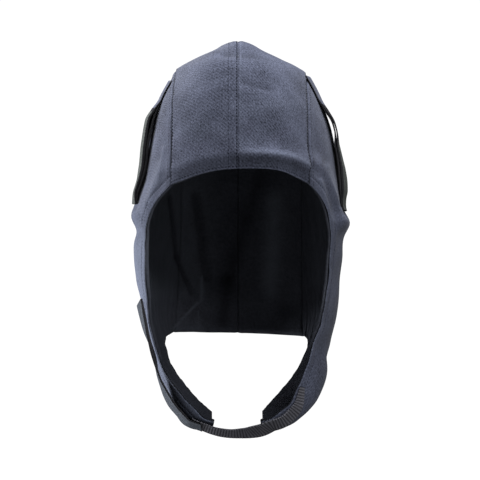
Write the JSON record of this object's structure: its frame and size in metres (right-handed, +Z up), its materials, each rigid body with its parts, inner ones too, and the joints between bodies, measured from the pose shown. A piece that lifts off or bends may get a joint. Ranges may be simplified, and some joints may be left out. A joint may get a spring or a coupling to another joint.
{
  "type": "helmet liner cap",
  "caption": "Twill winter liner cap worn under a safety helmet, with fleece lining, ear and cheek flaps, side tabs for the helmet's harness and a chin strap with a hook tab.",
  "frame": {"origin": "head seat: the point under the crown where the top of a head bears", "axes": "+Z up, the face opening towards -Y, +X to the right as seen from the front"},
  "size_m": [0.1812, 0.2125, 0.3236],
  "materials": {
    "shell": "navy twill",
    "lining": "black fleece",
    "helmet_tab": "black hook-and-loop tape with a grey back",
    "webbing": "ribbed black webbing",
    "hook_tab": "dark hook tape"
  },
  "bodies": {
    "root": {"crown_left": "shell", "crown_right": "shell", "side_left": "shell", "side_right": "shell", "lining_crown_left": "lining", "lining_crown_right": "lining", "lining_side_left": "lining", "lining_side_right": "lining", "helmet_tab_left": "helmet_tab", "helmet_tab_right": "helmet_tab", "chin_webbing": "webbing", "chin_hook_tab": "hook_tab"}
  },
  "joints": []
}
